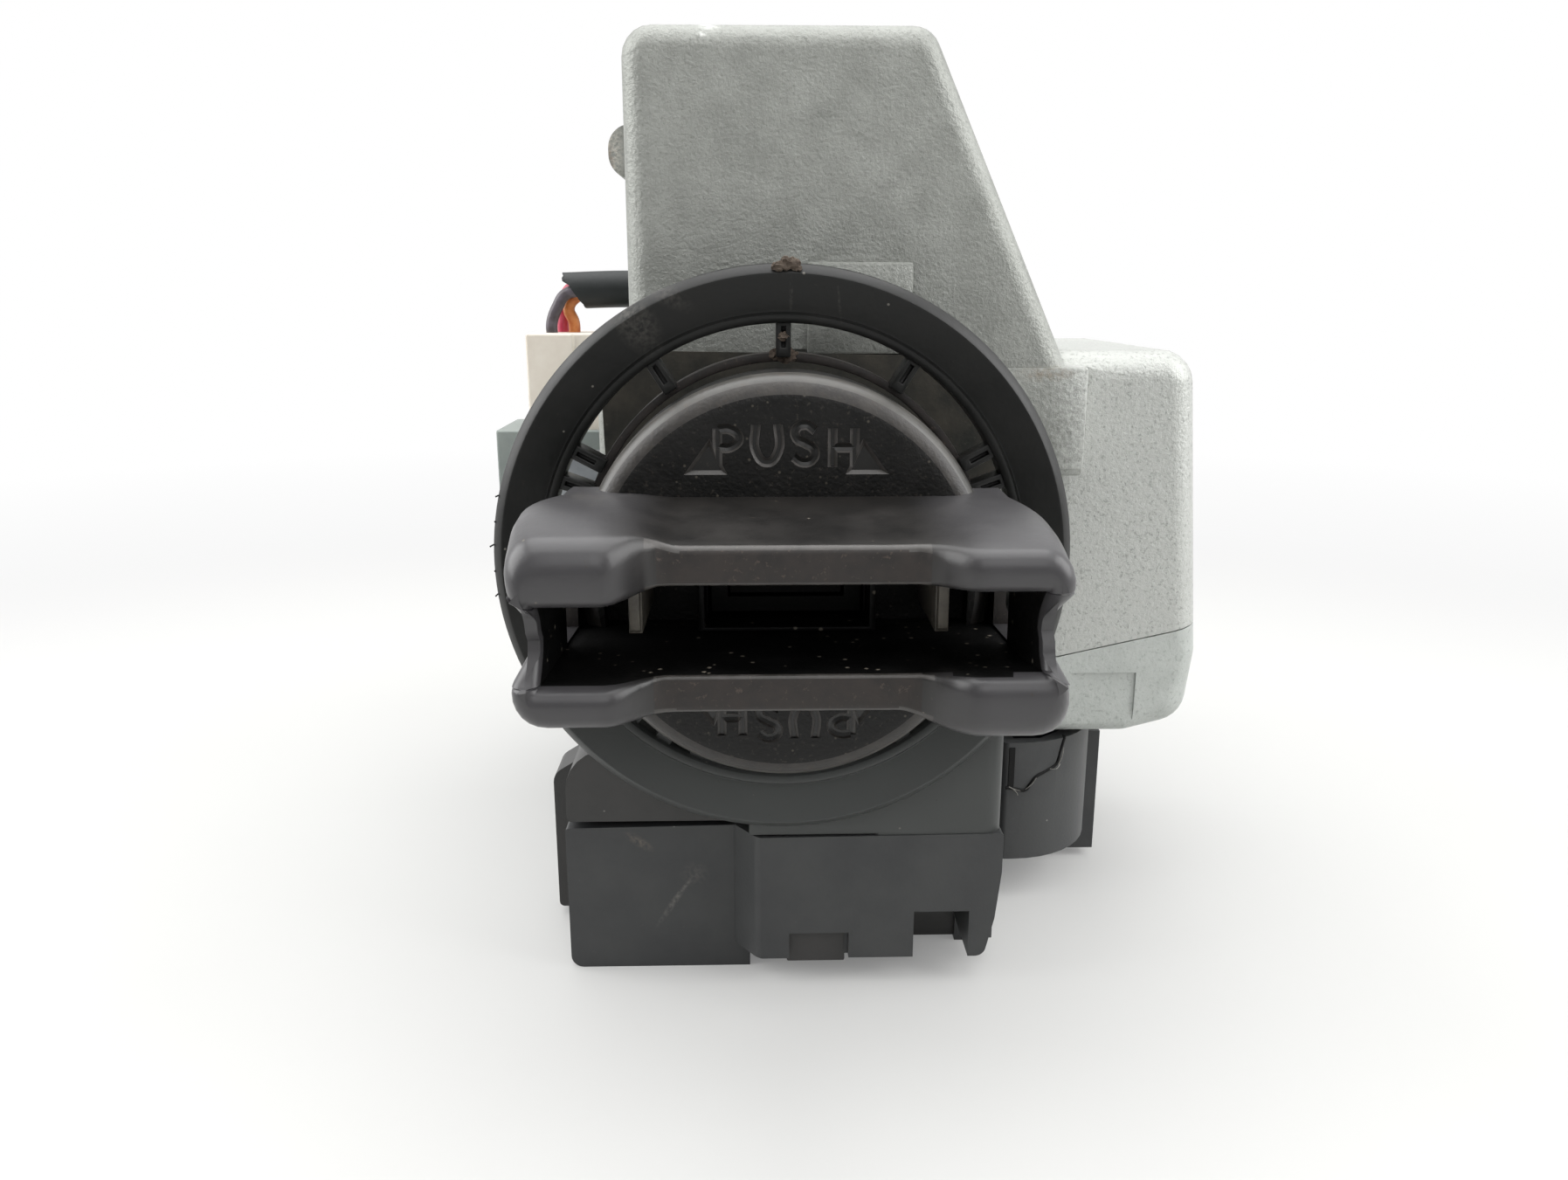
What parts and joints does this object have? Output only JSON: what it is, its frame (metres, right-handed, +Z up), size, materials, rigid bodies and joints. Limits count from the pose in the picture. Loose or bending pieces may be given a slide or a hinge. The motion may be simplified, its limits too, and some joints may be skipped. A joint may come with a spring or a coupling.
{
  "type": "ignition switch",
  "caption": "Push-and-turn knob ignition switch: hollow grip knob in a ring, die-cast steering lock body with locking bolt, control module below and electrical switch behind.",
  "frame": {"origin": "on the base face, under the knob axis, in the plane of the casting's front face", "axes": "+Y from the knob to the back, +Z up, +X to the right as seen from the knob"},
  "size_m": [0.078, 0.106, 0.0863],
  "materials": {
    "zinc_cast": "as-cast die-cast zinc, matt grey and finely mottled",
    "zinc_cover": "die-cast zinc, a little lighter and smoother",
    "black_case": "black moulded plastic, dusty and scratched",
    "black_ring": "black moulded plastic with a fine satin grain",
    "grip_plastic": "black moulded plastic with brown dust on its edges",
    "switch_plastic": "black moulded plastic",
    "cream_plastic": "cream moulded plastic",
    "pale_plastic": "natural moulded plastic",
    "sheath_rubber": "black soft sheath",
    "grommet_rubber": "black rubber",
    "wire_red": "red wire insulation",
    "wire_orange": "orange wire insulation",
    "wire_grey": "dark grey wire insulation",
    "steel": "plain steel",
    "spring_steel": "bright spring wire",
    "brass": "bare brass",
    "copper_coil": "enamelled copper winding",
    "board_green": "green circuit board",
    "board_black": "moulded electronic components"
  },
  "bodies": {
    "housing": {"lock_body": "zinc_cast", "body_cover": "zinc_cover", "cover_screws": "steel", "bearing_plate": "zinc_cover", "trim_ring": "black_ring", "antenna_coil": "copper_coil", "module_upper_case": "black_case", "module_lower_cover": "black_case", "module_screws": "steel", "circuit_board": "board_green", "board_parts": "board_black", "connector_pod": "black_case", "pod_pins": "brass", "switch_base": "switch_plastic", "switch_cap": "switch_plastic", "switch_screw_pair": "steel", "switch_blades": "brass", "lead_plug": "cream_plastic", "lead_wire_red": "wire_red", "lead_wire_orange": "wire_orange", "lead_wire_grey": "wire_grey", "lead_sheath": "sheath_rubber", "lead_grommet": "grommet_rubber", "solenoid_frame": "steel", "solenoid_coil": "copper_coil", "plunger_spring": "spring_steel", "bolt_spring": "spring_steel"},
    "rotor": {"rotor": "zinc_cover", "lock_cam": "steel", "switch_rotor": "pale_plastic", "moving_contact": "brass", "knob_spring": "spring_steel"},
    "knob": {"knob_grip": "grip_plastic"},
    "key_shutter": {"key_shutter": "steel"},
    "wafers": {"wafer_stack": "brass"},
    "lock_bolt": {"lock_bolt": "steel"},
    "interlock_plunger": {"solenoid_plunger": "steel"}
  },
  "joints": [
    {"name": "knob_turn", "type": "hinge", "parent": "housing", "child": "rotor", "pos_m": [0, 0, 0.041], "axis": [0, 1, 0], "range_deg": [0, 105]},
    {"name": "knob_push", "type": "slide", "parent": "rotor", "child": "knob", "axis": [0, 1, 0], "range_m": [0, 0.003], "stiffness_N_per_m": 800, "deforming": ["knob_spring"]},
    {"name": "shutter_flap", "type": "hinge", "parent": "rotor", "child": "key_shutter", "pos_m": [0, -0.0169, 0.0422], "axis": [1, 0, 0], "range_deg": [0, 85], "stiffness_Nm_per_rad": 0.00005},
    {"name": "wafer_lift", "type": "slide", "parent": "rotor", "child": "wafers", "axis": [0, 0, 1], "range_m": [0, 0.0008], "stiffness_N_per_m": 200},
    {"name": "bolt_slide", "type": "slide", "parent": "housing", "child": "lock_bolt", "axis": [1, 0, 0], "range_m": [0, 0.006], "deforming": ["bolt_spring"]},
    {"name": "plunger_slide", "type": "slide", "parent": "housing", "child": "interlock_plunger", "axis": [1, 0, 0], "range_m": [0, 0.0025], "deforming": ["plunger_spring"]}
  ],
  "couplings": [
    {"joint": "bolt_slide", "follows": "knob_turn", "m_per_rad": 0.003274},
    {"joint": "plunger_slide", "follows": "knob_turn", "m_per_rad": 0.001364}
  ]
}
